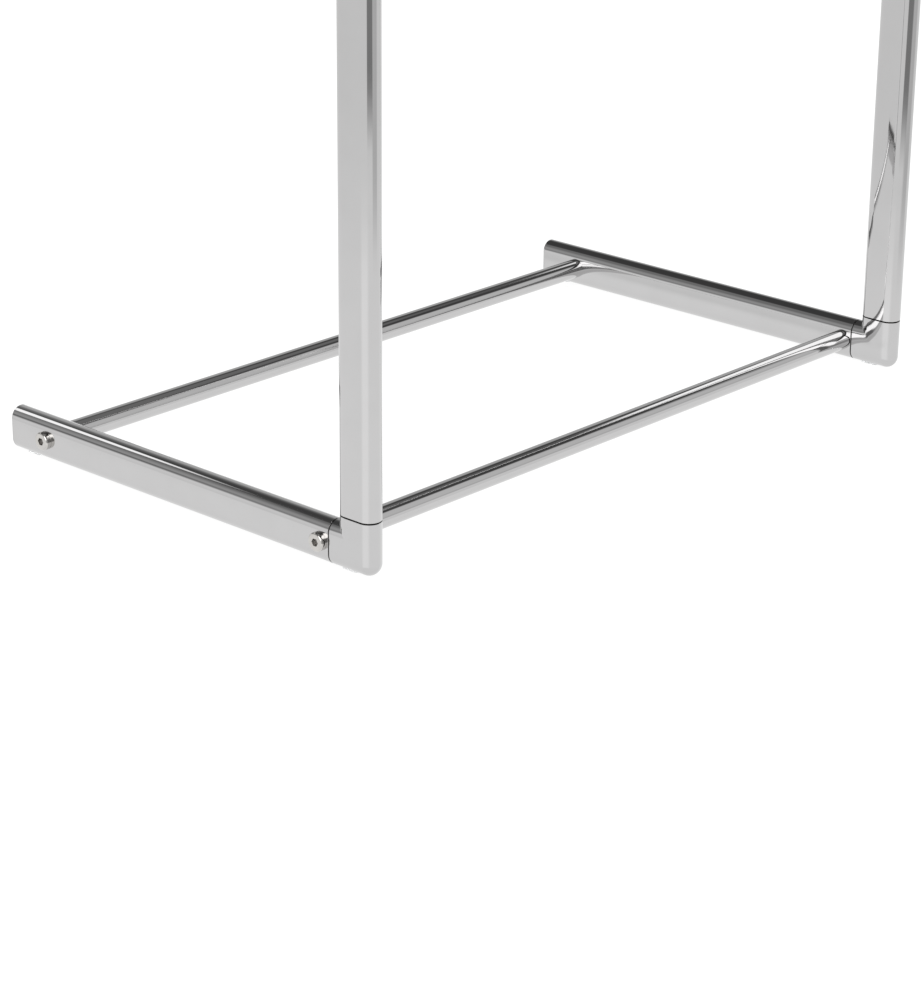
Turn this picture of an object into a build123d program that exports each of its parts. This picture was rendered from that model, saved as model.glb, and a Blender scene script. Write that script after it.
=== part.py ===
from build123d import *
import os

# Chromed valet stand: two C-shaped side frames of flat-oval tube, tied together
# by four round crossbars, with a contoured wooden jacket hanger on top.
#
# Millimetres. +Z up, z = 0 is the floor. The origin is the middle of the base
# footprint. +X runs across the stand, from the left side frame to the right one.
# +Y runs along the base rails, from the uprights towards the rails' free ends.

os.makedirs("parts", exist_ok=True)

# ---------------------------------------------------------------- driving sizes
TUBE_H = 25.0            # flat-oval tube, long side of the section
TUBE_T = 13.5            # flat-oval tube, short side, full half-round edges
WALL = 1.2               # tube wall
OVERALL_W = 472.0        # over the outer flat faces of the two side frames
BASE_D = 282.0           # rail free end to elbow heel
ARM_D = 170.0            # top arm, elbow heel to free end
FRAME_H = 960.0          # side frame, underside of the rail to top of the arm

ELBOW_FOOT = 29.4        # elbow leg along the rail, from the heel
ELBOW_RISE = 30.15       # elbow leg along the upright, from the heel
HEEL_R = 6.8             # outside radius of the elbow's heel
SPIGOT_L = 30.0          # how far an elbow spigot reaches into its tube
SPIGOT_GAP = 0.10        # radial clearance of a spigot in its tube
EDGE = 0.35              # broken edge at each tube-to-elbow joint line
JOINT_GAP = 0.25         # open joint line: the tubes stop just short of the elbow

BAR_D = 12.5             # round crossbars
BAR_WALL = 1.5
BAR_NEAR = 36.2          # crossbar axis from the elbow heel
BAR_FAR = 29.0           # crossbar axis from the rail or arm free end

PLUG_CAP = 1.5           # visible rim of an end plug
PLUG_L = 38.0            # plug spigot length, past the crossbar screw

SCREW_D = 5.9            # M6 shank, drawn plain at its major diameter
SCREW_HOLE = 6.5         # clearance hole
TAPPED_D = 6.0           # M6 thread, drawn plain
SCREW_L = 30.0
HEAD_D = 10.5            # flat-faced round head
HEAD_H = 3.3
HEAD_R = 1.15            # rounding of the head's rim
SOCKET_AF = 4.0

INSERT_L = 20.0          # threaded insert in each crossbar end
GRUB_D = 4.9             # M5 grub screw
GRUB_L = 6.0

GLIDE_T = 0.4            # floor glide, thickness under the tube
GLIDE_W = 5.0
GLIDE_L = 12.0

POST_L = 95.0            # hanger post, bar axis to hanger seat
HANGER_W = 424.0         # jacket hanger, tip to tip

# ---------------------------------------------------------------- derived places
R = TUBE_T / 2
X_SIDE = OVERALL_W / 2 - TUBE_T / 2          # centre plane of a side frame
Y_HEEL = -BASE_D / 2                         # outer face of the uprights
Y_TIP = BASE_D / 2                           # free end of the rails
Y_ARM = Y_HEEL + ARM_D                       # free end of the top arms
Z_RAIL = GLIDE_T                             # underside of the rails
Z_TOP = Z_RAIL + FRAME_H                     # top of the arms
Z_MID = Z_RAIL + FRAME_H / 2                 # mirror plane between base and top
Z_RAIL_AXIS = Z_RAIL + TUBE_H / 2
Z_ARM_AXIS = Z_TOP - TUBE_H / 2
Y_UP_AXIS = Y_HEEL + TUBE_H / 2              # centre of the uprights
Y_BAR_NEAR = Y_HEEL + BAR_NEAR               # bars beside the uprights
Y_SHOE_FAR = Y_TIP - BAR_FAR                 # shoe bar at the free ends
Y_HANGER = Y_ARM - BAR_FAR                   # hanger bar at the arms' free ends
BAR_HALF = OVERALL_W / 2 - TUBE_T            # half the clear width between frames
INNER_H = TUBE_H - 2 * WALL
INNER_T = TUBE_T - 2 * WALL
SPIG_H = INNER_H - 2 * SPIGOT_GAP
SPIG_T = INNER_T - 2 * SPIGOT_GAP
XS = -X_SIDE                                 # the left side frame is drawn first


def along_y(x, y, z):
    """A sketch plane across a rail: local x is +X, local y is -Z, extruding +Y."""
    return Plane(origin=(x, y, z), x_dir=(1, 0, 0), z_dir=(0, 1, 0))


def along_x(x, y, z):
    """A sketch plane across a crossbar: local x is +Y, local y is +Z, extruding +X."""
    return Plane(origin=(x, y, z), x_dir=(0, 1, 0), z_dir=(1, 0, 0))


# ---------------------------------------------------------------- base rails
rail_start = Y_HEEL + ELBOW_FOOT + JOINT_GAP
rail_len = BASE_D - ELBOW_FOOT - JOINT_GAP - PLUG_CAP

with BuildPart() as side_rail_left:
    with BuildSketch(along_y(XS, rail_start, Z_RAIL_AXIS)):
        SlotOverall(TUBE_H, TUBE_T, rotation=90)
        SlotOverall(INNER_H, INNER_T, rotation=90, mode=Mode.SUBTRACT)
    extrude(amount=rail_len)
    chamfer(side_rail_left.faces().sort_by(Axis.Y)[0].outer_wire().edges(), EDGE)
    # screw clearance holes, through both flat walls
    with BuildSketch(along_x(XS - 12, 0, Z_RAIL_AXIS)):
        with Locations((Y_BAR_NEAR, 0), (Y_SHOE_FAR, 0)):
            Circle(SCREW_HOLE / 2)
    extrude(amount=24, mode=Mode.SUBTRACT)

with BuildPart() as side_rail_right:
    mirror(side_rail_left.part, about=Plane.YZ)

# ---------------------------------------------------------------- top arms
arm_len = ARM_D - ELBOW_FOOT - JOINT_GAP - PLUG_CAP

with BuildPart() as top_arm_left:
    with BuildSketch(along_y(XS, rail_start, Z_ARM_AXIS)):
        SlotOverall(TUBE_H, TUBE_T, rotation=90)
        SlotOverall(INNER_H, INNER_T, rotation=90, mode=Mode.SUBTRACT)
    extrude(amount=arm_len)
    chamfer(top_arm_left.faces().sort_by(Axis.Y)[0].outer_wire().edges(), EDGE)
    with BuildSketch(along_x(XS - 12, 0, Z_ARM_AXIS)):
        with Locations((Y_BAR_NEAR, 0), (Y_HANGER, 0)):
            Circle(SCREW_HOLE / 2)
    extrude(amount=24, mode=Mode.SUBTRACT)

with BuildPart() as top_arm_right:
    mirror(top_arm_left.part, about=Plane.YZ)

# ---------------------------------------------------------------- uprights
up_start = Z_RAIL + ELBOW_RISE + JOINT_GAP
up_len = FRAME_H - 2 * (ELBOW_RISE + JOINT_GAP)
z_grub = up_start + 15.0                     # lower grub screw
z_grub_top = 2 * Z_MID - z_grub              # upper grub screw

with BuildPart() as upright_left:
    with BuildSketch(Plane.XY.offset(up_start)):
        with Locations((XS, Y_UP_AXIS)):
            SlotOverall(TUBE_H, TUBE_T, rotation=90)
            SlotOverall(INNER_H, INNER_T, rotation=90, mode=Mode.SUBTRACT)
    extrude(amount=up_len)
    chamfer(upright_left.faces().sort_by(Axis.Z)[0].outer_wire().edges(), EDGE)
    chamfer(upright_left.faces().sort_by(Axis.Z)[-1].outer_wire().edges(), EDGE)
    # one hole at each end, in the rounded edge that faces the base
    with BuildSketch(along_y(0, Y_UP_AXIS + 5, 0)):
        with Locations((XS, -z_grub), (XS, -z_grub_top)):
            Circle(5.2 / 2)
    extrude(amount=12, mode=Mode.SUBTRACT)

with BuildPart() as upright_right:
    mirror(upright_left.part, about=Plane.YZ)

# ---------------------------------------------------------------- corner elbows
# One casting: two flush legs that share a rounded heel, with a spigot on each leg.
with BuildPart() as lower_elbow_left:
    # leg towards the rail
    with BuildSketch(along_y(XS, Y_HEEL + HEEL_R, Z_RAIL_AXIS)):
        SlotOverall(TUBE_H, TUBE_T, rotation=90)
    extrude(amount=ELBOW_FOOT - HEEL_R)
    # leg towards the upright
    with BuildSketch(Plane.XY.offset(Z_RAIL + HEEL_R)):
        with Locations((XS, Y_UP_AXIS)):
            SlotOverall(TUBE_H, TUBE_T, rotation=90)
    extrude(amount=ELBOW_RISE - HEEL_R)
    # rounded heel: the tube's outer edge turned through a quarter circle
    with BuildSketch(Plane.XY.offset(Z_RAIL + HEEL_R)):
        with Locations((XS, Y_UP_AXIS)):
            SlotOverall(TUBE_H, TUBE_T, rotation=90)
        with Locations((XS, Y_HEEL + HEEL_R / 2 - 1)):
            Rectangle(TUBE_T + 2, HEEL_R + 2, mode=Mode.INTERSECT)
    revolve(axis=Axis((XS, Y_HEEL + HEEL_R, Z_RAIL + HEEL_R), (1, 0, 0)), revolution_arc=90)
    # broken edges at the two joint lines
    foot_face = lower_elbow_left.faces().sort_by(Axis.Y)[-1]
    chamfer(foot_face.outer_wire().edges(), EDGE)
    rise_face = lower_elbow_left.faces().sort_by(Axis.Z)[-1]
    chamfer(rise_face.outer_wire().edges(), EDGE)
    # spigot into the rail
    with BuildSketch(along_y(XS, Y_HEEL + ELBOW_FOOT - 2, Z_RAIL_AXIS)):
        SlotOverall(SPIG_H, SPIG_T, rotation=90)
    extrude(amount=SPIGOT_L + 2)
    chamfer(lower_elbow_left.faces().sort_by(Axis.Y)[-1].outer_wire().edges(), 0.9)
    # spigot into the upright
    with BuildSketch(Plane.XY.offset(Z_RAIL + ELBOW_RISE - 2)):
        with Locations((XS, Y_UP_AXIS)):
            SlotOverall(SPIG_H, SPIG_T, rotation=90)
    extrude(amount=SPIGOT_L + 2)
    chamfer(lower_elbow_left.faces().sort_by(Axis.Z)[-1].outer_wire().edges(), 0.9)
    # the crossbar screw passes through the rail spigot and pins it
    with BuildSketch(along_x(XS - 12, Y_BAR_NEAR, Z_RAIL_AXIS)):
        Circle(SCREW_HOLE / 2)
    extrude(amount=24, mode=Mode.SUBTRACT)
    # tapped hole for the grub screw in the upright spigot
    with BuildSketch(along_y(XS, Y_UP_AXIS + 1.0, z_grub)):
        Circle(5.0 / 2)
    extrude(amount=20, mode=Mode.SUBTRACT)

with BuildPart() as lower_elbow_right:
    mirror(lower_elbow_left.part, about=Plane.YZ)

with BuildPart() as upper_elbow_left:
    mirror(lower_elbow_left.part, about=Plane.XY.offset(Z_MID))

with BuildPart() as upper_elbow_right:
    mirror(upper_elbow_left.part, about=Plane.YZ)

# ---------------------------------------------------------------- end plugs
with BuildPart() as rail_end_plug_left:
    with BuildSketch(along_y(XS, Y_TIP - PLUG_CAP, Z_RAIL_AXIS)):
        SlotOverall(TUBE_H, TUBE_T, rotation=90)
    extrude(amount=PLUG_CAP)
    chamfer(rail_end_plug_left.faces().sort_by(Axis.Y)[-1].outer_wire().edges(), 0.6)
    with BuildSketch(along_y(XS, Y_TIP - PLUG_CAP - PLUG_L, Z_RAIL_AXIS)):
        SlotOverall(SPIG_H, SPIG_T, rotation=90)
    extrude(amount=PLUG_L)
    chamfer(rail_end_plug_left.faces().sort_by(Axis.Y)[0].outer_wire().edges(), 0.9)
    # hollowed from the inner end, leaving a solid block round the screw
    with BuildSketch(along_y(XS, Y_SHOE_FAR + 9, Z_RAIL_AXIS)):
        SlotOverall(SPIG_H - 4, SPIG_T - 4, rotation=90)
    extrude(amount=Y_TIP - PLUG_CAP - 1.0 - (Y_SHOE_FAR + 9), mode=Mode.SUBTRACT)
    with BuildSketch(along_x(XS - 12, Y_SHOE_FAR, Z_RAIL_AXIS)):
        Circle(SCREW_HOLE / 2)
    extrude(amount=24, mode=Mode.SUBTRACT)

with BuildPart() as rail_end_plug_right:
    mirror(rail_end_plug_left.part, about=Plane.YZ)

with BuildPart() as arm_end_plug_left:
    with BuildSketch(along_y(XS, Y_ARM - PLUG_CAP, Z_ARM_AXIS)):
        SlotOverall(TUBE_H, TUBE_T, rotation=90)
    extrude(amount=PLUG_CAP)
    chamfer(arm_end_plug_left.faces().sort_by(Axis.Y)[-1].outer_wire().edges(), 0.6)
    with BuildSketch(along_y(XS, Y_ARM - PLUG_CAP - PLUG_L, Z_ARM_AXIS)):
        SlotOverall(SPIG_H, SPIG_T, rotation=90)
    extrude(amount=PLUG_L)
    chamfer(arm_end_plug_left.faces().sort_by(Axis.Y)[0].outer_wire().edges(), 0.9)
    with BuildSketch(along_y(XS, Y_HANGER + 9, Z_ARM_AXIS)):
        SlotOverall(SPIG_H - 4, SPIG_T - 4, rotation=90)
    extrude(amount=Y_ARM - PLUG_CAP - 1.0 - (Y_HANGER + 9), mode=Mode.SUBTRACT)
    with BuildSketch(along_x(XS - 12, Y_HANGER, Z_ARM_AXIS)):
        Circle(SCREW_HOLE / 2)
    extrude(amount=24, mode=Mode.SUBTRACT)

with BuildPart() as arm_end_plug_right:
    mirror(arm_end_plug_left.part, about=Plane.YZ)

# ---------------------------------------------------------------- crossbars
# Round tubes that butt against the inner flat faces of the side frames.
bar_len = 2 * BAR_HALF

with BuildPart() as shoe_bar_front:
    with BuildSketch(along_x(-BAR_HALF, Y_BAR_NEAR, Z_RAIL_AXIS)):
        Circle(BAR_D / 2)
        Circle(BAR_D / 2 - BAR_WALL, mode=Mode.SUBTRACT)
    extrude(amount=bar_len)

with BuildPart() as shoe_bar_rear:
    with BuildSketch(along_x(-BAR_HALF, Y_SHOE_FAR, Z_RAIL_AXIS)):
        Circle(BAR_D / 2)
        Circle(BAR_D / 2 - BAR_WALL, mode=Mode.SUBTRACT)
    extrude(amount=bar_len)

with BuildPart() as trouser_bar:
    with BuildSketch(along_x(-BAR_HALF, Y_BAR_NEAR, Z_ARM_AXIS)):
        Circle(BAR_D / 2)
        Circle(BAR_D / 2 - BAR_WALL, mode=Mode.SUBTRACT)
    extrude(amount=bar_len)

with BuildPart() as hanger_bar:
    with BuildSketch(along_x(-BAR_HALF, Y_HANGER, Z_ARM_AXIS)):
        Circle(BAR_D / 2)
        Circle(BAR_D / 2 - BAR_WALL, mode=Mode.SUBTRACT)
    extrude(amount=bar_len)
    # upright hole for the hanger bolt
    with BuildSketch(Plane.XY.offset(Z_ARM_AXIS - 10)):
        with Locations((0, Y_HANGER)):
            Circle(SCREW_HOLE / 2)
    extrude(amount=20, mode=Mode.SUBTRACT)

bar_axes_low = [(Y_BAR_NEAR, Z_RAIL_AXIS), (Y_SHOE_FAR, Z_RAIL_AXIS)]
bar_axes_top = [(Y_BAR_NEAR, Z_ARM_AXIS), (Y_HANGER, Z_ARM_AXIS)]

# threaded inserts pressed into the crossbar ends
with BuildPart() as bar_end_inserts:
    with BuildSketch(along_x(-BAR_HALF, 0, 0)):
        with Locations(*(bar_axes_low + bar_axes_top)):
            Circle(BAR_D / 2 - BAR_WALL - 0.01)
            Circle(TAPPED_D / 2, mode=Mode.SUBTRACT)
    extrude(amount=INSERT_L)
    with BuildSketch(along_x(BAR_HALF - INSERT_L, 0, 0)):
        with Locations(*(bar_axes_low + bar_axes_top)):
            Circle(BAR_D / 2 - BAR_WALL - 0.01)
            Circle(TAPPED_D / 2, mode=Mode.SUBTRACT)
    extrude(amount=INSERT_L)

# ---------------------------------------------------------------- crossbar screws
# Round-head socket screws from outside, through the tube into the insert.
side_face = OVERALL_W / 2


def screw_profile(sign):
    """Half section of a round-head screw, drawn in the XZ plane about the X axis."""
    h = HEAD_H
    s = sign * side_face
    with BuildSketch(Plane.XZ) as sk:
        with BuildLine():
            l1 = Line((s - sign * SCREW_L, 0), (s - sign * SCREW_L, SCREW_D / 2 - 0.6))
            l2 = Line(l1 @ 1, (s - sign * (SCREW_L - 0.6), SCREW_D / 2))
            l3 = Line(l2 @ 1, (s, SCREW_D / 2))
            l4 = Line(l3 @ 1, (s, HEAD_D / 2 - 0.2))
            l5 = Line(l4 @ 1, (s + sign * 0.2, HEAD_D / 2))
            l6 = Line(l5 @ 1, (s + sign * (h - HEAD_R), HEAD_D / 2))
            l7 = ThreePointArc(
                l6 @ 1,
                (s + sign * (h - HEAD_R * (1 - 0.70711)), HEAD_D / 2 - HEAD_R * (1 - 0.70711)),
                (s + sign * h, HEAD_D / 2 - HEAD_R),
            )
            l8 = Line(l7 @ 1, (s + sign * h, 0))
            Line(l8 @ 1, l1 @ 0)
        make_face()
    return sk.sketch


base_bar_screws_one = {}
for side, sign in (("left", -1), ("right", 1)):
    with BuildPart() as one:
        add(screw_profile(sign))
        revolve(axis=Axis.X)
        face_x = sign * (side_face + HEAD_H)
        with BuildSketch(Plane(origin=(face_x, 0, 0), x_dir=(0, 1, 0), z_dir=(-sign, 0, 0))):
            RegularPolygon(SOCKET_AF / 2, 6, major_radius=False)
        extrude(amount=2.2, mode=Mode.SUBTRACT)
    base_bar_screws_one[side] = one.part

with BuildPart() as base_bar_screws:
    for side in ("left", "right"):
        with Locations(*[(0, y, z) for y, z in bar_axes_low]):
            add(base_bar_screws_one[side])

with BuildPart() as top_bar_screws:
    for side in ("left", "right"):
        with Locations(*[(0, y, z) for y, z in bar_axes_top]):
            add(base_bar_screws_one[side])

# ---------------------------------------------------------------- grub screws
# One in the hidden edge of each upright end, flush in the tube wall.
with BuildPart() as one_grub:
    with BuildSketch(Plane.XZ):
        Circle(GRUB_D / 2)
    extrude(amount=-GRUB_L)
    chamfer(one_grub.edges().filter_by(GeomType.CIRCLE), 0.4)
    with BuildSketch(along_y(0, GRUB_L - 2.6, 0)):
        RegularPolygon(2.5 / 2, 6, major_radius=False)
    extrude(amount=4, mode=Mode.SUBTRACT)

y_grub = Y_HEEL + TUBE_H - 0.4 - GRUB_L
with BuildPart() as elbow_grub_screws:
    with Locations(
        (-X_SIDE, y_grub, z_grub),
        (X_SIDE, y_grub, z_grub),
        (-X_SIDE, y_grub, z_grub_top),
        (X_SIDE, y_grub, z_grub_top),
    ):
        add(one_grub.part)

# ---------------------------------------------------------------- floor glides
# Clear self-adhesive pads whose top follows the tube's rounded underside.
with BuildPart() as floor_glides:
    with BuildSketch(Plane.XY):
        with Locations(
            (-X_SIDE, Y_HEEL + 19),
            (X_SIDE, Y_HEEL + 19),
            (-X_SIDE, Y_TIP - 13),
            (X_SIDE, Y_TIP - 13),
        ):
            SlotOverall(GLIDE_L, GLIDE_W, rotation=90)
    extrude(amount=GLIDE_T + 0.7)
    for x in (-X_SIDE, X_SIDE):
        with BuildSketch(along_y(x, Y_HEEL - 1, Z_RAIL + R)):
            Circle(R)
        extrude(amount=BASE_D + 2, mode=Mode.SUBTRACT)

# ---------------------------------------------------------------- hanger post
# A short stub of the same flat-oval section, saddled onto the hanger bar.
Z_SEAT = Z_ARM_AXIS + POST_L
SEAT_IN = 2.0                                # the post's top enters the hanger

with BuildPart() as hanger_post:
    with BuildSketch(Plane.XY.offset(Z_ARM_AXIS + 1.5)):
        with Locations((0, Y_HANGER)):
            SlotOverall(TUBE_H, TUBE_T)
            Circle(SCREW_HOLE / 2, mode=Mode.SUBTRACT)
            with Locations((7.5, 0), (-7.5, 0)):
                Circle(2.2, mode=Mode.SUBTRACT)
    extrude(amount=POST_L - 1.5)
    with BuildSketch(along_x(-20, Y_HANGER, Z_ARM_AXIS)):
        Circle(BAR_D / 2)
    extrude(amount=40, mode=Mode.SUBTRACT)

# ---------------------------------------------------------------- hanger fixings
with BuildPart() as hanger_saddle_washer:
    with BuildSketch(Plane.XY.offset(Z_ARM_AXIS - 8.2)):
        with Locations((0, Y_HANGER)):
            Circle(6.0)
            Circle(SCREW_HOLE / 2, mode=Mode.SUBTRACT)
    extrude(amount=5.0)
    with BuildSketch(along_x(-20, Y_HANGER, Z_ARM_AXIS)):
        Circle(BAR_D / 2)
    extrude(amount=40, mode=Mode.SUBTRACT)

Z_BOLT = Z_ARM_AXIS - 8.2                    # underside of the saddle washer
BOLT_L = POST_L + 8.2 + 13.0

with BuildPart() as hanger_bolt:
    with BuildSketch(Plane.XZ.offset(-Y_HANGER)):
        with BuildLine():
            b1 = Line((0, Z_BOLT + BOLT_L), (SCREW_D / 2 - 0.6, Z_BOLT + BOLT_L))
            b2 = Line(b1 @ 1, (SCREW_D / 2, Z_BOLT + BOLT_L - 0.6))
            b3 = Line(b2 @ 1, (SCREW_D / 2, Z_BOLT))
            b4 = Line(b3 @ 1, (HEAD_D / 2, Z_BOLT))
            b5 = Line(b4 @ 1, (HEAD_D / 2, Z_BOLT - HEAD_H + 2.4))
            b6 = ThreePointArc(b5 @ 1, (HEAD_D / 2 - 0.85, Z_BOLT - HEAD_H + 0.8), (3.1, Z_BOLT - HEAD_H))
            b7 = Line(b6 @ 1, (0, Z_BOLT - HEAD_H))
            Line(b7 @ 1, b1 @ 0)
        make_face()
    revolve(axis=Axis((0, Y_HANGER, 0), (0, 0, 1)))
    with BuildSketch(Plane.XY.offset(Z_BOLT - HEAD_H)):
        with Locations((0, Y_HANGER)):
            RegularPolygon(SOCKET_AF / 2, 6, major_radius=False)
    extrude(amount=2.2, mode=Mode.SUBTRACT)

with BuildPart() as hanger_threaded_insert:
    with BuildSketch(Plane.XY.offset(Z_SEAT + 0.5)):
        with Locations((0, Y_HANGER)):
            Circle(4.5)
            Circle(TAPPED_D / 2, mode=Mode.SUBTRACT)
    extrude(amount=13.0)

with BuildPart() as hanger_locating_pins:
    with BuildSketch(Plane.XY.offset(Z_SEAT - 9)):
        with Locations((7.5, Y_HANGER), (-7.5, Y_HANGER)):
            Circle(2.15)
    extrude(amount=18.0)
    chamfer(hanger_locating_pins.edges().filter_by(GeomType.CIRCLE), 0.4)

# ---------------------------------------------------------------- jacket hanger
# Contoured shoulders: (distance from the middle, forward bow, height, breadth, depth)
Z_CROWN = Z_SEAT + 14.0
half_sections = [
    (0.0, 0.0, 0.0, 25.0, 33.0),
    (34.0, 0.6, -1.5, 24.5, 31.0),
    (78.0, 2.6, -10.5, 25.0, 26.5),
    (124.0, 6.0, -24.5, 29.0, 23.5),
    (168.0, 10.5, -39.5, 36.5, 20.5),
    (196.0, 13.5, -49.5, 39.0, 17.0),
    (HANGER_W / 2, 15.2, -55.5, 30.0, 10.5),
]
stations = [(-x, b, h, w, d) for x, b, h, w, d in reversed(half_sections[1:])] + half_sections

with BuildPart() as jacket_hanger:
    for x, bow, height, breadth, depth in stations:
        with BuildSketch(along_x(x, Y_HANGER + bow, Z_CROWN + height)):
            RectangleRounded(breadth, depth, min(breadth, depth) * 0.47)
    loft()
    # seat for the post's top
    with BuildSketch(Plane.XY.offset(Z_SEAT - 30)):
        with Locations((0, Y_HANGER)):
            SlotOverall(TUBE_H + 0.2, TUBE_T + 0.2)
    extrude(amount=30, mode=Mode.SUBTRACT)
    # bores for the threaded insert, the bolt's end and the locating pins
    with BuildSketch(Plane.XY.offset(Z_SEAT)):
        with Locations((0, Y_HANGER)):
            Circle(4.51)
    extrude(amount=15.0, mode=Mode.SUBTRACT)
    with BuildSketch(Plane.XY.offset(Z_SEAT)):
        with Locations((7.5, Y_HANGER), (-7.5, Y_HANGER)):
            Circle(2.17)
    extrude(amount=10.0, mode=Mode.SUBTRACT)

# ---------------------------------------------------------------- write the parts
named = {
    "side_rail_left": side_rail_left,
    "side_rail_right": side_rail_right,
    "lower_elbow_left": lower_elbow_left,
    "lower_elbow_right": lower_elbow_right,
    "upright_left": upright_left,
    "upright_right": upright_right,
    "upper_elbow_left": upper_elbow_left,
    "upper_elbow_right": upper_elbow_right,
    "top_arm_left": top_arm_left,
    "top_arm_right": top_arm_right,
    "rail_end_plug_left": rail_end_plug_left,
    "rail_end_plug_right": rail_end_plug_right,
    "arm_end_plug_left": arm_end_plug_left,
    "arm_end_plug_right": arm_end_plug_right,
    "shoe_bar_front": shoe_bar_front,
    "shoe_bar_rear": shoe_bar_rear,
    "trouser_bar": trouser_bar,
    "hanger_bar": hanger_bar,
    "bar_end_inserts": bar_end_inserts,
    "base_bar_screws": base_bar_screws,
    "top_bar_screws": top_bar_screws,
    "elbow_grub_screws": elbow_grub_screws,
    "floor_glides": floor_glides,
    "hanger_post": hanger_post,
    "hanger_saddle_washer": hanger_saddle_washer,
    "hanger_bolt": hanger_bolt,
    "hanger_threaded_insert": hanger_threaded_insert,
    "hanger_locating_pins": hanger_locating_pins,
    "jacket_hanger": jacket_hanger,
}

for name, builder in named.items():
    builder.part.label = name
    export_step(builder.part, f"parts/{name}.step")
    print(name, len(builder.part.solids()), round(builder.part.volume, 1))
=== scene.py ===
import math

import bpy
from mathutils import Matrix, Vector

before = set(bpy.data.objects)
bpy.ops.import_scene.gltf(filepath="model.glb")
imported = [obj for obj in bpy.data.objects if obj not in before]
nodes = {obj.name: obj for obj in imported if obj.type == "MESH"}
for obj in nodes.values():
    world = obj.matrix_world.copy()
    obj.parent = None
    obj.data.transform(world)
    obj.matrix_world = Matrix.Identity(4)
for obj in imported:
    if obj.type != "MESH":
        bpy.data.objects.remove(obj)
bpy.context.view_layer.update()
scene = bpy.context.scene

# ------------------------------------------------------------------ camera
# Seen from the upright side, over the left rail, looking down a little.
CAM_POS = Vector((-1.249595, -1.124291, 0.597579))
YAW, PITCH, ROLL = math.radians(42.239), math.radians(21.356), math.radians(0.503)
LENS = 108.292


def camera_axes(yaw, pitch, roll):
    f = Vector((math.cos(yaw) * math.cos(pitch), math.sin(yaw) * math.cos(pitch), -math.sin(pitch)))
    r = Vector((math.sin(yaw), -math.cos(yaw), 0.0))
    u = r.cross(f)
    r2 = math.cos(roll) * r + math.sin(roll) * u
    u2 = -math.sin(roll) * r + math.cos(roll) * u
    return r2, u2, -f


cam_data = bpy.data.cameras.new("camera")
cam = bpy.data.objects.new("camera", cam_data)
scene.collection.objects.link(cam)
cam_data.sensor_fit = "AUTO"
cam_data.sensor_width = 36.0
cam_data.lens = LENS
cam_data.clip_start, cam_data.clip_end = 0.05, 60.0
cam_data.dof.use_dof = False
r_ax, u_ax, b_ax = camera_axes(YAW, PITCH, ROLL)
m = Matrix((r_ax, u_ax, b_ax)).transposed().to_4x4()
m.translation = CAM_POS
cam.matrix_world = m
scene.camera = cam

# ------------------------------------------------------------------ node helpers


def new_material(name):
    mat = bpy.data.materials.new(name)
    mat.use_nodes = True
    nt = mat.node_tree
    nt.nodes.clear()
    out = nt.nodes.new("ShaderNodeOutputMaterial")
    bsdf = nt.nodes.new("ShaderNodeBsdfPrincipled")
    nt.links.new(bsdf.outputs["BSDF"], out.inputs["Surface"])
    return mat, nt, bsdf


def ramp(nt, fac, stops, interpolation="LINEAR"):
    n = nt.nodes.new("ShaderNodeValToRGB")
    n.color_ramp.interpolation = interpolation
    els = n.color_ramp.elements
    while len(els) > 1:
        els.remove(els[-1])
    for i, (pos, col) in enumerate(stops):
        e = els[0] if i == 0 else els.new(pos)
        e.position = pos
        c = col if isinstance(col, tuple) else (col, col, col)
        e.color = (*c, 1.0)
    nt.links.new(fac, n.inputs["Fac"])
    return n.outputs["Color"]


def math_node(nt, op, a, b=None, clamp=False):
    n = nt.nodes.new("ShaderNodeMath")
    n.operation = op
    n.use_clamp = clamp
    for i, v in enumerate((a, b)):
        if v is None:
            continue
        if isinstance(v, (int, float)):
            n.inputs[i].default_value = v
        else:
            nt.links.new(v, n.inputs[i])
    return n.outputs[0]


def map_range(nt, value, lo, hi, to_lo, to_hi, smooth=False):
    n = nt.nodes.new("ShaderNodeMapRange")
    n.interpolation_type = "SMOOTHSTEP" if smooth else "LINEAR"
    n.inputs["From Min"].default_value = lo
    n.inputs["From Max"].default_value = hi
    n.inputs["To Min"].default_value = to_lo
    n.inputs["To Max"].default_value = to_hi
    nt.links.new(value, n.inputs["Value"])
    return n.outputs["Result"]


def object_coords(nt, scale=(1, 1, 1), rot=(0, 0, 0)):
    tc = nt.nodes.new("ShaderNodeTexCoord")
    mp = nt.nodes.new("ShaderNodeMapping")
    mp.inputs["Scale"].default_value = scale
    mp.inputs["Rotation"].default_value = rot
    nt.links.new(tc.outputs["Object"], mp.inputs["Vector"])
    return mp.outputs["Vector"]


def noise(nt, vec, scale, detail=2.0, rough=0.5, distort=0.0):
    n = nt.nodes.new("ShaderNodeTexNoise")
    n.inputs["Scale"].default_value = scale
    n.inputs["Detail"].default_value = detail
    n.inputs["Roughness"].default_value = rough
    n.inputs["Distortion"].default_value = distort
    nt.links.new(vec, n.inputs["Vector"])
    return n.outputs["Fac"]


def bump(nt, bsdf, height, distance, strength=1.0, under=None):
    n = nt.nodes.new("ShaderNodeBump")
    n.inputs["Strength"].default_value = strength
    n.inputs["Distance"].default_value = distance
    nt.links.new(height, n.inputs["Height"])
    if under is not None:
        nt.links.new(under, n.inputs["Normal"])
    nt.links.new(n.outputs["Normal"], bsdf.inputs["Normal"])
    return n.outputs["Normal"]


Y_JOINT = -0.111475                          # joint line between the elbows and the rails or arms
Z_JOINTS = (0.030675, 0.930125)              # joint lines between the elbows and the uprights
Z_AXES = (0.0129, 0.9479)                    # middle of the rails and of the top arms
Y_UPRIGHT = -0.1285                          # middle of the uprights
FLAT = 0.00575                               # half height of the tube's flat side


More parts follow.
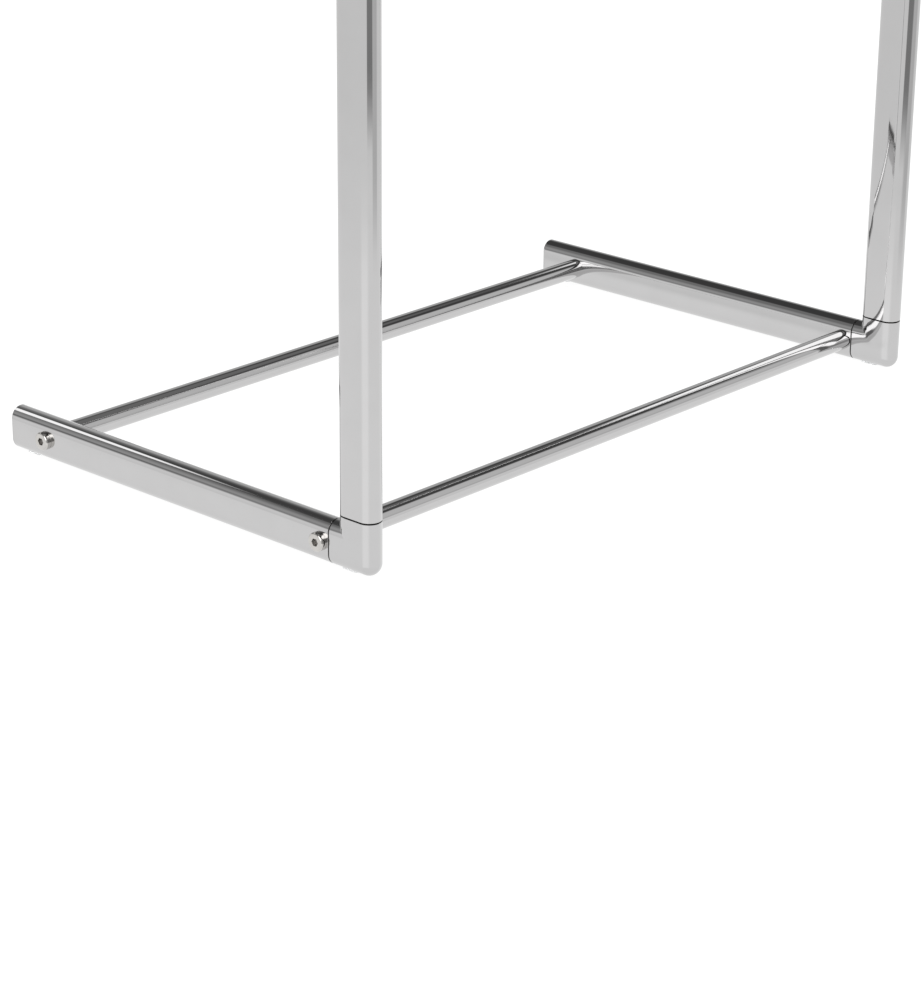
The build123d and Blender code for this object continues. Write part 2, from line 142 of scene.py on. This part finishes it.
def bow(nt, d, rise):
    """The slight outward bow of a flat side, d metres from its middle line, fading out over the round."""
    v = math_node(nt, "MINIMUM", math_node(nt, "DIVIDE", d, FLAT), 2.0)
    over = math_node(nt, "MAXIMUM", math_node(nt, "SUBTRACT", v, 1.0), 0.0)
    f = math_node(nt, "SUBTRACT", math_node(nt, "MULTIPLY", v, v), math_node(nt, "MULTIPLY", math_node(nt, "MULTIPLY", over, over), 2.0))
    return math_node(nt, "MULTIPLY", f, -rise)


def offset(nt, coord, centre):
    return math_node(nt, "ABSOLUTE", math_node(nt, "SUBTRACT", coord, centre))


def beyond(nt, a, b):
    """How far a is past b, nought before it."""
    return math_node(nt, "MAXIMUM", math_node(nt, "SUBTRACT", a, b), 0.0)


def length(nt, a, b):
    return math_node(nt, "SQRT", math_node(nt, "ADD", math_node(nt, "MULTIPLY", a, a), math_node(nt, "MULTIPLY", b, b)))


def seam_shade_mask(nt, y, z):
    """1 on the broken edges at the joint lines: painted shade that darkens the seams between the parts."""
    m = None
    for coord, plane in ((y, Y_JOINT), (z, Z_JOINTS[0]), (z, Z_JOINTS[1])):
        d = math_node(nt, "ABSOLUTE", math_node(nt, "SUBTRACT", coord, plane))
        k = map_range(nt, d, 0.00036, 0.00046, 1.0, 0.0, True)
        m = k if m is None else math_node(nt, "MAXIMUM", m, k)
    return m


def plating(name, color, rough_lo, rough_hi, wave_scale, wave_height, grain_scale=0.0, grain_height=0.0, bowed=None, rise=0.00010):
    """Bright plating: slow waves in the bump, dust and wipe marks in the roughness, and on the bowed tubes painted
    shade along the joint lines.
    """
    mat, nt, b = new_material(name)
    b.inputs["Metallic"].default_value = 1.0
    vec = object_coords(nt)
    tint = ramp(nt, noise(nt, vec, 55.0, 3.0), [(0.30, tuple(c * 0.975 for c in color)), (0.70, color)])
    rough = map_range(nt, noise(nt, vec, 34.0, 5.0, 0.65), 0.35, 0.75, rough_lo, rough_hi)
    height = math_node(nt, "MULTIPLY", noise(nt, vec, wave_scale, 1.0, 0.4), wave_height)
    if grain_scale:
        height = math_node(nt, "ADD", height, math_node(nt, "MULTIPLY", noise(nt, vec, grain_scale, 2.0, 0.5), grain_height))
    if bowed:
        sp = nt.nodes.new("ShaderNodeSeparateXYZ")
        nt.links.new(vec, sp.inputs["Vector"])
        y, z = sp.outputs["Y"], sp.outputs["Z"]
        if bowed == "upright":
            d = offset(nt, y, Y_UPRIGHT)
        elif bowed == "rail":
            d = offset(nt, z, Z_AXES[0])
        elif bowed == "arm":
            d = offset(nt, z, Z_AXES[1])
        else:                                # elbow: from the nearer of its two middle lines
            zc = Z_AXES[0] if bowed == "lower" else Z_AXES[1]
            leg = length(nt, offset(nt, z, zc), beyond(nt, Y_UPRIGHT, y))
            past = beyond(nt, zc, z) if bowed == "lower" else beyond(nt, z, zc)
            up = length(nt, offset(nt, y, Y_UPRIGHT), past)
            d = nt.nodes.new("ShaderNodeMath")
            d.operation = "SMOOTH_MIN"
            nt.links.new(leg, d.inputs[0])
            nt.links.new(up, d.inputs[1])
            d.inputs[2].default_value = 0.004
            d = math_node(nt, "MAXIMUM", d.outputs[0], 0.0)
        # the inner sides, pulled up against the crossbars, bow a little more
        inner = map_range(nt, math_node(nt, "ABSOLUTE", sp.outputs["X"]), 0.2255, 0.2300, 3.2, 1.0, True)
        h = math_node(nt, "MULTIPLY", bow(nt, d, rise), inner)
        height = math_node(nt, "ADD", height, h)
        # painted shade: the joint lines get a near-black colour and extra roughness, standing in for the shadow in the
        # seams
        mask = seam_shade_mask(nt, y, z)
        dk = nt.nodes.new("ShaderNodeMix")
        dk.data_type = "RGBA"
        dk.inputs["B"].default_value = (0.055, 0.052, 0.050, 1.0)
        nt.links.new(tint, dk.inputs["A"])
        nt.links.new(mask, dk.inputs["Factor"])
        tint = dk.outputs["Result"]
        rough = math_node(nt, "ADD", rough, math_node(nt, "MULTIPLY", mask, 0.35))
    nt.links.new(tint, b.inputs["Base Color"])
    nt.links.new(rough, b.inputs["Roughness"])
    bump(nt, b, height, 1.0)
    return mat


# ------------------------------------------------------------------ materials
CHROME = (0.602, 0.598, 0.599)
CAST = (0.594, 0.591, 0.593)
m_bar = plating("chrome_bar_plating", CHROME, 0.025, 0.065, 9.0, 0.00008)
m_rail = plating("chrome_rail_plating", CHROME, 0.025, 0.065, 9.0, 0.00008, bowed="rail")
m_upright = plating("chrome_upright_plating", CHROME, 0.025, 0.065, 9.0, 0.00008, bowed="upright")
m_arm = plating("chrome_arm_plating", CHROME, 0.025, 0.065, 9.0, 0.00008, bowed="arm")
m_low = plating("chrome_lower_elbow_plating", CAST, 0.035, 0.085, 22.0, 0.00009, 420.0, 0.0000035, bowed="lower")
m_high = plating("chrome_upper_elbow_plating", CAST, 0.035, 0.085, 22.0, 0.00009, 420.0, 0.0000035, bowed="upper")
m_post = plating("chrome_post_plating", CAST, 0.035, 0.085, 22.0, 0.00009, 420.0, 0.0000035)
m_plug = plating("chrome_plug_plating", (0.577, 0.575, 0.576), 0.070, 0.130, 30.0, 0.00008, 600.0, 0.000004)


def turned_metal(name, color, rough_lo, rough_hi, ring_axis, rings=2600.0, depth=0.000006, sockets=False):
    """Metal faced on a lathe: fine rings about the part's own axis."""
    mat, nt, b = new_material(name)
    b.inputs["Metallic"].default_value = 1.0
    vec = object_coords(nt)
    tint = ramp(nt, noise(nt, vec, 260.0, 3.0), [(0.25, tuple(c * 0.90 for c in color)), (0.75, color)])
    rough = map_range(nt, noise(nt, vec, 320.0, 4.0, 0.6), 0.3, 0.75, rough_lo, rough_hi)
    if sockets:                              # painted shade in the hexagon sockets of the crossbar screws: darker and rougher there
        sp = nt.nodes.new("ShaderNodeSeparateXYZ")
        nt.links.new(vec, sp.inputs["Vector"])
        dy = offset(nt, sp.outputs["Y"], -0.1048)
        for axis_y in (0.0, 0.112):
            dy = math_node(nt, "MINIMUM", dy, offset(nt, sp.outputs["Y"], axis_y))
        dz = math_node(nt, "MINIMUM", offset(nt, sp.outputs["Z"], Z_AXES[0]), offset(nt, sp.outputs["Z"], Z_AXES[1]))
        near = map_range(nt, length(nt, dy, dz), 0.00236, 0.00250, 1.0, 0.0, True)
        deep = map_range(nt, math_node(nt, "ABSOLUTE", sp.outputs["X"]), 0.2388, 0.2392, 1.0, 0.0, True)
        painted_socket_shade = math_node(nt, "MULTIPLY", near, deep)
        dk = nt.nodes.new("ShaderNodeMix")
        dk.data_type = "RGBA"
        dk.inputs["B"].default_value = (0.36, 0.35, 0.335, 1.0)
        nt.links.new(tint, dk.inputs["A"])
        nt.links.new(painted_socket_shade, dk.inputs["Factor"])
        tint = dk.outputs["Result"]
        rough = math_node(nt, "ADD", rough, math_node(nt, "MULTIPLY", painted_socket_shade, 0.25))
    nt.links.new(tint, b.inputs["Base Color"])
    nt.links.new(rough, b.inputs["Roughness"])
    streak_scale = {"X": (rings, 40.0, 40.0), "Y": (40.0, rings, 40.0), "Z": (40.0, 40.0, rings)}[ring_axis]
    bump(nt, b, noise(nt, object_coords(nt, streak_scale), 1.0, 2.0, 0.6), depth)
    return mat


m_screw = turned_metal("nickel_screw_plating", (0.645, 0.630, 0.605), 0.05, 0.12, "X", sockets=True)
m_bolt = turned_metal("nickel_bolt_plating", (0.68, 0.665, 0.64), 0.12, 0.24, "Z")
m_zinc = turned_metal("zinc_plating", (0.60, 0.62, 0.64), 0.24, 0.40, "X")
m_pin = turned_metal("zinc_pin_plating", (0.60, 0.62, 0.64), 0.20, 0.34, "Z")
m_brass = turned_metal("turned_brass", (0.78, 0.60, 0.30), 0.18, 0.34, "Z")

m_black, nt, b = new_material("black_oxide_steel")
b.inputs["Metallic"].default_value = 1.0
vec = object_coords(nt)
nt.links.new(ramp(nt, noise(nt, vec, 700.0, 4.0, 0.6), [(0.35, (0.030, 0.030, 0.034)), (0.62, (0.055, 0.054, 0.056)), (0.80, (0.16, 0.15, 0.14))]), b.inputs["Base Color"])
nt.links.new(map_range(nt, noise(nt, vec, 900.0, 3.0), 0.3, 0.7, 0.34, 0.55), b.inputs["Roughness"])
bump(nt, b, noise(nt, vec, 1600.0, 2.0), 0.00001)

m_glide, nt, b = new_material("clear_soft_plastic")
b.inputs["Transmission Weight"].default_value = 0.80
b.inputs["IOR"].default_value = 1.49
vec = object_coords(nt)
nt.links.new(ramp(nt, noise(nt, vec, 300.0, 3.0), [(0.3, (0.90, 0.91, 0.92)), (0.7, (0.95, 0.955, 0.96))]), b.inputs["Base Color"])
nt.links.new(map_range(nt, noise(nt, vec, 400.0, 3.0), 0.3, 0.7, 0.30, 0.42), b.inputs["Roughness"])
bump(nt, b, noise(nt, vec, 500.0, 2.0), 0.000004)

# Stained wood: growth rings cut nearly along the grain, pores stretched along X, lacquer over it.
m_wood, nt, b = new_material("stained_wood")
b.inputs["Coat Weight"].default_value = 0.22
b.inputs["Coat Roughness"].default_value = 0.22
b.inputs["Specular IOR Level"].default_value = 0.42
grain = object_coords(nt, (1.05, 15.0, 23.0), (0.03, 0.06, 0.03))
warp = noise(nt, grain, 1.7, 3.0, 0.55, 0.35)
rings = math_node(nt, "FRACT", math_node(nt, "MULTIPLY", warp, 9.0))
rings = math_node(nt, "SMOOTH_MIN", rings, math_node(nt, "MULTIPLY", math_node(nt, "SUBTRACT", 1.0, rings), 5.0))
fibres = noise(nt, object_coords(nt, (22.0, 420.0, 420.0)), 1.0, 3.0, 0.6)
pores = noise(nt, object_coords(nt, (70.0, 1500.0, 1500.0)), 1.0, 1.0, 0.5)
pore_mask = map_range(nt, pores, 0.66, 0.72, 0.0, 1.0, True)
tone = math_node(nt, "ADD", math_node(nt, "MULTIPLY", rings, 0.55), math_node(nt, "MULTIPLY", fibres, 0.55))
body = ramp(nt, tone, [(0.16, (0.060, 0.026, 0.013)), (0.40, (0.115, 0.052, 0.025)), (0.62, (0.175, 0.084, 0.040)), (0.88, (0.235, 0.122, 0.060))])
patch = ramp(nt, noise(nt, object_coords(nt, (5.0, 22.0, 22.0)), 1.0, 2.0), [(0.30, 0.84), (0.70, 1.0)])
mul = nt.nodes.new("ShaderNodeMix")
mul.data_type = "RGBA"
mul.blend_type = "MULTIPLY"
mul.inputs["Factor"].default_value = 1.0
nt.links.new(body, mul.inputs["A"])
nt.links.new(patch, mul.inputs["B"])
dark = nt.nodes.new("ShaderNodeMix")
dark.data_type = "RGBA"
dark.inputs["B"].default_value = (0.028, 0.013, 0.008, 1.0)
nt.links.new(mul.outputs["Result"], dark.inputs["A"])
nt.links.new(math_node(nt, "MULTIPLY", pore_mask, 0.7), dark.inputs["Factor"])
nt.links.new(dark.outputs["Result"], b.inputs["Base Color"])
nt.links.new(map_range(nt, tone, 0.2, 0.9, 0.46, 0.34), b.inputs["Roughness"])
height = math_node(nt, "SUBTRACT", math_node(nt, "MULTIPLY", tone, 0.5), pore_mask)
bump(nt, b, height, 0.00006)

assign = {
    "side_rail_left": m_rail, "side_rail_right": m_rail, "upright_left": m_upright, "upright_right": m_upright,
    "top_arm_left": m_arm, "top_arm_right": m_arm, "shoe_bar_front": m_bar, "shoe_bar_rear": m_bar,
    "trouser_bar": m_bar, "hanger_bar": m_bar, "hanger_post": m_post,
    "lower_elbow_left": m_low, "lower_elbow_right": m_low, "upper_elbow_left": m_high, "upper_elbow_right": m_high,
    "rail_end_plug_left": m_plug, "rail_end_plug_right": m_plug, "arm_end_plug_left": m_plug, "arm_end_plug_right": m_plug,
    "base_bar_screws": m_screw, "top_bar_screws": m_screw, "hanger_bolt": m_bolt, "hanger_saddle_washer": m_bolt,
    "bar_end_inserts": m_zinc, "hanger_locating_pins": m_pin, "hanger_threaded_insert": m_brass,
    "elbow_grub_screws": m_black, "floor_glides": m_glide, "jacket_hanger": m_wood,
}
for name, mat in assign.items():
    for s in nodes[name].material_slots:
        s.material = mat

# ------------------------------------------------------------------ studio
# Polished surfaces mirror the studio, so it is drawn as a room: white floor and sweep,
# grey walls, dark ceiling, two soft boxes and one stand. Angles are degrees, azimuth from +X
# towards +Y and height above the horizon.
world = bpy.data.worlds.new("studio")
scene.world = world
world.use_nodes = True
wt = world.node_tree
wt.nodes.clear()
w_out = wt.nodes.new("ShaderNodeOutputWorld")
tc = wt.nodes.new("ShaderNodeTexCoord")
sep = wt.nodes.new("ShaderNodeSeparateXYZ")
wt.links.new(tc.outputs["Generated"], sep.inputs["Vector"])
RAD = 180.0 / math.pi
azim = math_node(wt, "MULTIPLY", math_node(wt, "ARCTAN2", sep.outputs["Y"], sep.outputs["X"]), RAD)
elev = math_node(wt, "MULTIPLY", math_node(wt, "ARCSINE", sep.outputs["Z"]), RAD)


def level(e):
    return (e + 90.0) / 180.0


room = ramp(wt, map_range(wt, elev, -90.0, 90.0, 0.0, 1.0), [
    (level(-90), 0.96), (level(-40), 0.96), (level(-20), 0.985), (level(-17), 0.95), (level(-15), 0.895),
    (level(-13), 0.86), (level(-6), 0.89), (level(2), 0.93), (level(5), 0.84), (level(7), 0.68),
    (level(9), 0.45), (level(12), 0.30), (level(15), 0.33), (level(21), 0.41), (level(26), 0.42), (level(31), 0.35), (level(36), 0.27),
    (level(41), 0.155), (level(45), 0.085), (level(50), 0.062), (level(60), 0.062), (level(68), 0.12),
    (level(78), 0.34), (level(90), 0.40)])


def off_centre(value, centre, wrap=False):
    d = math_node(wt, "SUBTRACT", value, centre)
    if wrap:
        d = math_node(wt, "WRAP", d, 180.0)
        wt.nodes[-1].inputs[2].default_value = -180.0
    return math_node(wt, "ABSOLUTE", d)


def put(mask, radiance):
    global room
    mx = wt.nodes.new("ShaderNodeMix")
    mx.data_type = "RGBA"
    wt.links.new(mask, mx.inputs["Factor"])
    wt.links.new(room, mx.inputs["A"])
    mx.inputs["B"].default_value = (radiance, radiance, radiance, 1.0)
    room = mx.outputs["Result"]


def panel(az0, az1, el0, el1, radiance, soft_az=6.0, soft_el=4.0, amount=1.0):
    """A rectangular wall area with soft borders."""
    ha, he = (az1 - az0) / 2.0, (el1 - el0) / 2.0
    a = map_range(wt, off_centre(azim, (az0 + az1) / 2.0, True), ha - soft_az / 2.0, ha + soft_az / 2.0, 1.0, 0.0, True)
    e = map_range(wt, off_centre(elev, (el0 + el1) / 2.0), he - soft_el / 2.0, he + soft_el / 2.0, amount, 0.0, True)
    put(math_node(wt, "MULTIPLY", a, e), radiance)


def octabox(az, el, half_az, half_el, radiance, soft=0.25):
    """An oval soft box."""
    a = math_node(wt, "DIVIDE", off_centre(azim, az, True), half_az)
    e = math_node(wt, "DIVIDE", off_centre(elev, el), half_el)
    r = math_node(wt, "SQRT", math_node(wt, "ADD", math_node(wt, "POWER", a, 2.0), math_node(wt, "POWER", e, 2.0)))
    put(map_range(wt, r, 1.0 - soft, 1.0 + soft, 1.0, 0.0, True), radiance)


panel(-45.0, 42.0, 45.0, 101.0, 0.20, 14.0, 5.0)        # ceiling over the right side, a little lighter
panel(116.0, 160.0, 38.0, 52.0, 0.23, 12.0, 8.0)        # back wall, upper part
panel(118.0, 134.5, 11.0, 18.0, 0.20, 3.0, 3.0)         # dark edge of a sweep roll
panel(22.0, 62.0, -5.0, 31.0, 0.52, 12.0, 8.0)           # wall to the right rear
panel(18.0, 36.0, 32.0, 44.0, 0.075, 7.0, 6.0)          # black flag beside the right soft box
panel(-150.0, -31.0, 1.0, 38.0, 0.70, 6.0, 7.0)         # light wall on the front right
panel(-140.0, -38.0, 3.0, 10.0, 0.60, 8.0, 6.0)         # its skirting
panel(-28.0, -6.0, 34.0, 46.0, 0.068, 6.0, 5.0)         # black flag on the soft box's other side
octabox(1.0, 26.3, 22.5, 17.1, 1.50, 0.045)             # right soft box
octabox(98.5, 38.0, 12.6, 7.7, 1.50, 0.13)              # rear soft box
panel(-186.0, -136.0, 6.0, 50.0, 2.70, 10.0, 6.0)       # large front soft box
panel(-196.0, -140.0, -27.0, -16.5, 1.11, 26.0, 3.0)    # floor lit by it
panel(-98.0, -56.0, -16.0, -8.0, 0.63, 12.0, 2.5)       # floor shaded on the right
panel(-142.0, -97.0, -14.2, 22.0, 0.27, 7.0, 1.6)       # the camera's stand

lp = wt.nodes.new("ShaderNodeLightPath")
bg_room = wt.nodes.new("ShaderNodeBackground")
wt.links.new(room, bg_room.inputs["Color"])
bg_white = wt.nodes.new("ShaderNodeBackground")
bg_white.inputs["Color"].default_value = (1, 1, 1, 1)
bg_white.inputs["Strength"].default_value = 1.0
bg_soft = wt.nodes.new("ShaderNodeBackground")
bg_soft.inputs["Color"].default_value = (1, 1, 1, 1)
bg_soft.inputs["Strength"].default_value = 0.80
mix1 = wt.nodes.new("ShaderNodeMixShader")
mix2 = wt.nodes.new("ShaderNodeMixShader")
wt.links.new(lp.outputs["Is Diffuse Ray"], mix1.inputs["Fac"])
wt.links.new(bg_room.outputs["Background"], mix1.inputs[1])
wt.links.new(bg_soft.outputs["Background"], mix1.inputs[2])
wt.links.new(lp.outputs["Is Camera Ray"], mix2.inputs["Fac"])
wt.links.new(mix1.outputs["Shader"], mix2.inputs[1])
wt.links.new(bg_white.outputs["Background"], mix2.inputs[2])
wt.links.new(mix2.outputs["Shader"], w_out.inputs["Surface"])

floor_mesh = bpy.data.meshes.new("floor")
floor_mesh.from_pydata([(-8, -8, 0), (8, -8, 0), (8, 8, 0), (-8, 8, 0)], [], [(0, 1, 2, 3)])
floor = bpy.data.objects.new("floor", floor_mesh)
scene.collection.objects.link(floor)
mf, nf, bf = new_material("floor_paper")
bf.inputs["Base Color"].default_value = (0.20, 0.20, 0.20, 1)
bf.inputs["Roughness"].default_value = 0.9
bf.inputs["Specular IOR Level"].default_value = 0.0
bf.inputs["Emission Color"].default_value = (1, 1, 1, 1)
bf.inputs["Emission Strength"].default_value = 0.90
floor_mesh.materials.append(mf)
floor.visible_glossy = False                 # the room above already has the floor in it


def area_light(name, pos, target, size, watts):
    ld = bpy.data.lights.new(name, "AREA")
    ld.shape = "RECTANGLE"
    ld.size, ld.size_y = size
    ld.energy = watts
    lo = bpy.data.objects.new(name, ld)
    scene.collection.objects.link(lo)
    lo.location = pos
    lo.rotation_mode = "QUATERNION"
    lo.rotation_quaternion = (Vector(target) - Vector(pos)).to_track_quat("-Z", "Y")
    lo.visible_glossy = False
    lo.visible_camera = False
    return lo


key = area_light("key", (-1.4, -1.3, 2.3), (0, 0, 0.8), (0.9, 0.9), 22.0)
rim = area_light("rim", (1.6, 1.2, 1.9), (0, 0, 0.9), (0.8, 1.2), 9.0)

scene.view_settings.view_transform = "Standard"
scene.view_settings.look = "None"
scene.view_settings.exposure = 0.0
scene.view_settings.gamma = 1.0
